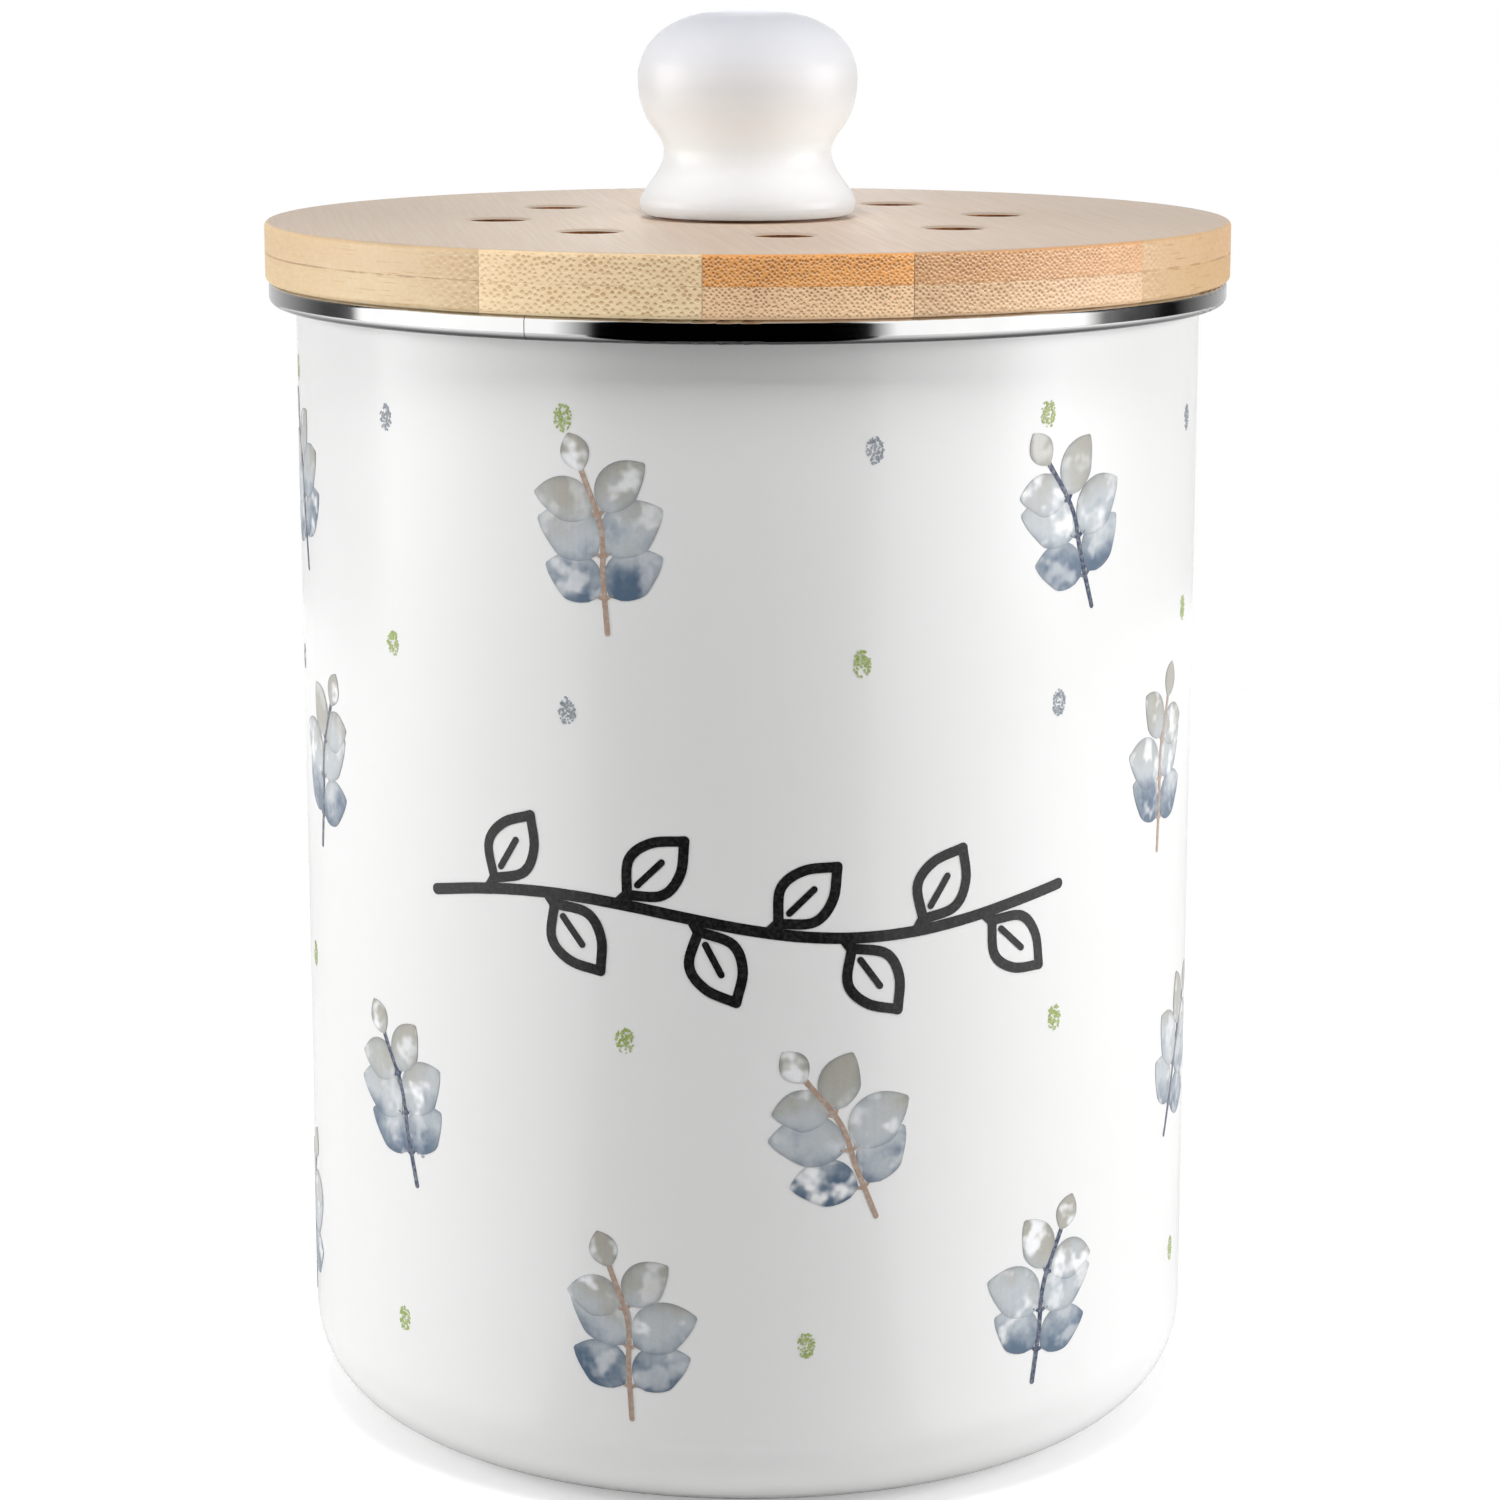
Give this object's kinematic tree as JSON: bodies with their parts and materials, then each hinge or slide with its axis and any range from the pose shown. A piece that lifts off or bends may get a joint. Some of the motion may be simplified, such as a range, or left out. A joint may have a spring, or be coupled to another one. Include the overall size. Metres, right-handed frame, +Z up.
{
  "type": "compost caddy",
  "caption": "Tall round enamelled steel kitchen compost can with a stainless trim ring and a lift-off vented bamboo lid that has a porcelain knob and a charcoal filter.",
  "frame": {"origin": "centre of the can's base, on the plane that it stands on", "axes": "+Z up along the can's axis, front (the printed side that faces the viewer) towards -Y, +X to the viewer's right"},
  "size_m": [0.168, 0.168, 0.2474],
  "materials": {
    "enamel": "glossy white enamel with a small printed pattern of leaves and dots",
    "stainless": "polished stainless strip",
    "bamboo": "pale bamboo, satin oiled, end grain along the front edge",
    "zinc_screw": "zinc plated",
    "silicone": "translucent white silicone",
    "porcelain": "glossy white glaze",
    "brass": "turned",
    "cup_plastic": "fine satin mould texture",
    "charcoal_felt": "activated charcoal felt"
  },
  "bodies": {
    "can": {"can_shell": "enamel", "trim_ring": "stainless"},
    "lid": {"bottom_strip_1": "bamboo", "bottom_strip_2": "bamboo", "bottom_strip_3": "bamboo", "bottom_strip_4": "bamboo", "bottom_strip_5": "bamboo", "top_strip_1": "bamboo", "top_strip_2": "bamboo", "top_strip_3": "bamboo", "top_strip_4": "bamboo", "top_strip_5": "bamboo", "plug_ring": "bamboo", "plug_screw_1": "zinc_screw", "plug_screw_2": "zinc_screw", "plug_screw_3": "zinc_screw", "plug_screw_4": "zinc_screw", "lid_gasket": "silicone", "knob": "porcelain", "knob_insert": "brass", "knob_bolt": "zinc_screw", "knob_washer": "zinc_screw", "knob_cushion": "silicone"},
    "filter_cup": {"filter_cup": "cup_plastic", "filter_pad": "charcoal_felt"}
  },
  "joints": [
    {"name": "lid_lift", "type": "slide", "parent": "can", "child": "lid", "axis": [0, 0, 1], "range_m": [0, 0.12]},
    {"name": "cup_pull", "type": "slide", "parent": "lid", "child": "filter_cup", "axis": [0, 0, -1], "range_m": [0, 0.02]}
  ]
}
